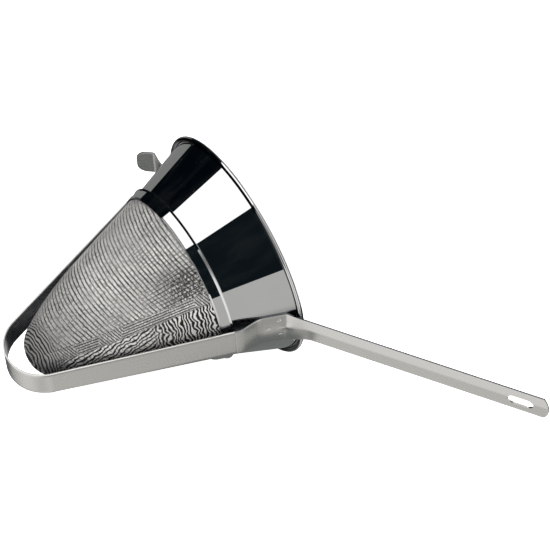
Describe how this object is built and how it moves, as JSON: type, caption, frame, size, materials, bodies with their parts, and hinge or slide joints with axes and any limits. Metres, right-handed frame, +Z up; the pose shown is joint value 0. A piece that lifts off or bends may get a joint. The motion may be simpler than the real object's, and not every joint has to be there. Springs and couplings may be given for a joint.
{
  "type": "chinois strainer",
  "caption": "Conical strainer of fine wire cloth in a flared steel collar, with a strap guard round the tip, a long slotted handle and a hook that hangs it on a pot.",
  "frame": {"origin": "on the table, under the middle of the box round the strainer as it lies", "axes": "+Z up from the table; +X along the table from the guard strap to the end of the handle"},
  "size_m": [0.439, 0.214, 0.1875],
  "materials": {
    "polished_steel": "mirror polish",
    "satin_steel": "satin",
    "wire_cloth": "woven wire"
  },
  "bodies": {
    "root": {"collar": "polished_steel", "rim_wire": "polished_steel", "mesh_ring": "polished_steel", "support_mesh": "wire_cloth", "fine_mesh": "wire_cloth", "mesh_seam": "wire_cloth", "guard_strap": "satin_steel", "handle": "satin_steel", "pot_hook": "satin_steel", "handle_welds": "satin_steel", "hook_welds": "satin_steel"}
  },
  "joints": []
}
